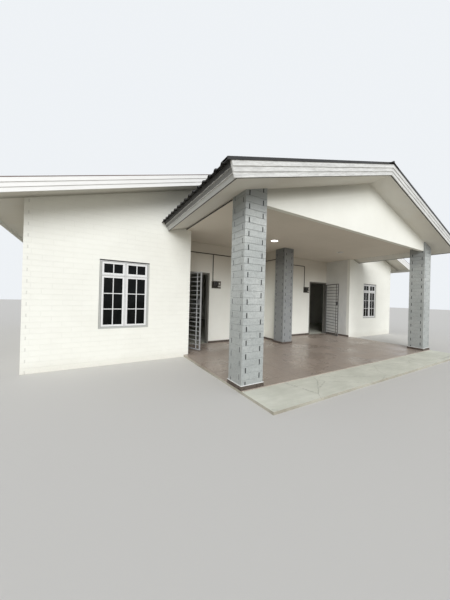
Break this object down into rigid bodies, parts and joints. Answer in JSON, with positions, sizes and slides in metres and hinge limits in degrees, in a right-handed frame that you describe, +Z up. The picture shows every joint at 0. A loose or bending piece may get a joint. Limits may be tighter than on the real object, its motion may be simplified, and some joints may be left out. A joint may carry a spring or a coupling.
{
  "type": "single-storey twin house with gabled porch",
  "caption": "Low gable-roofed twin house with a shared porch on block columns, small-paned windows and hinged entrance gates.",
  "frame": {"origin": "on the ground at the middle of the front wall line, under the centre line of the porch", "axes": "+X to the right as seen from in front of the porch; +Y from the porch into the house; +Z up"},
  "size_m": [13.62, 13.049, 5.0936],
  "materials": {
    "white_wall": "white emulsion paint on block walls",
    "grey_block": "blue-grey paint on block work",
    "concrete": "trowelled cement",
    "floor_tile": "semi-matt glazed floor tiles",
    "skirting_tile": "dark glazed tile",
    "ceiling_board": "painted fibre-cement board",
    "main_fascia": "white paint",
    "porch_fascia": "weathered pale grey paint",
    "main_sheet": "weathered red-brown coating",
    "porch_sheet": "charcoal coating",
    "window_frame": "white coating",
    "window_glass": "tinted float glass",
    "door_frame": "dark stain",
    "gate_paint": "light grey paint",
    "steel": "grey paint",
    "board_wood": "bare board",
    "meter_case": "dark moulded case",
    "conduit": "grey plastic pipe",
    "light_body": "white rim and diffuser"
  },
  "bodies": {
    "root": {"ceiling_lights": "light_body", "door_frames": "door_frame", "door_lintels": "white_wall", "entry_wall": "white_wall", "fin_column": "grey_block", "front_gable_wall": "white_wall", "gate_hinge_pins": "steel", "house_ceiling": "ceiling_board", "house_floor": "concrete", "left_front_wall": "white_wall", "left_front_window": "window_frame", "left_porch_column": "grey_block", "left_side_wall": "white_wall", "main_eave_fascias": "main_fascia", "main_eave_soffits": "ceiling_board", "main_gable_fascias": "main_fascia", "main_gable_soffits": "ceiling_board", "main_ridge_cap": "main_sheet", "main_roof_left": "main_sheet", "main_roof_right": "main_sheet", "main_verge_caps": "main_sheet", "meter_boards": "board_wood", "meters": "meter_case", "party_fin_wall": "white_wall", "porch_ceiling": "ceiling_board", "porch_eave_fascias": "porch_fascia", "porch_gable_fascia": "porch_fascia", "porch_gable_wall": "white_wall", "porch_ridge_cap": "porch_sheet", "porch_roof_left": "porch_sheet", "porch_roof_right": "porch_sheet", "porch_side_beams": "ceiling_board", "porch_slab": "concrete", "porch_soffits": "ceiling_board", "porch_tiles": "floor_tile", "porch_verge_caps": "porch_sheet", "rear_wall": "white_wall", "rear_windows": "window_frame", "recess_side_walls": "white_wall", "right_front_wall": "white_wall", "right_front_window": "window_frame", "right_porch_column": "grey_block", "right_side_wall": "white_wall", "side_windows": "window_frame", "tile_skirtings": "skirting_tile", "wall_conduits": "conduit", "window_glass": "window_glass"},
    "left_gate": {"left_gate": "gate_paint"},
    "right_gate": {"right_gate": "gate_paint"}
  },
  "joints": [
    {"name": "left_gate_hinge", "type": "hinge", "parent": "root", "child": "left_gate", "pos_m": [-3.1, 1.08, 0.375], "axis": [0, 0, 1], "range_deg": [-19, 71]},
    {"name": "right_gate_hinge", "type": "hinge", "parent": "root", "child": "right_gate", "pos_m": [3.1, 1.08, 0.375], "axis": [0, 0, 1], "range_deg": [-67, 23]}
  ]
}
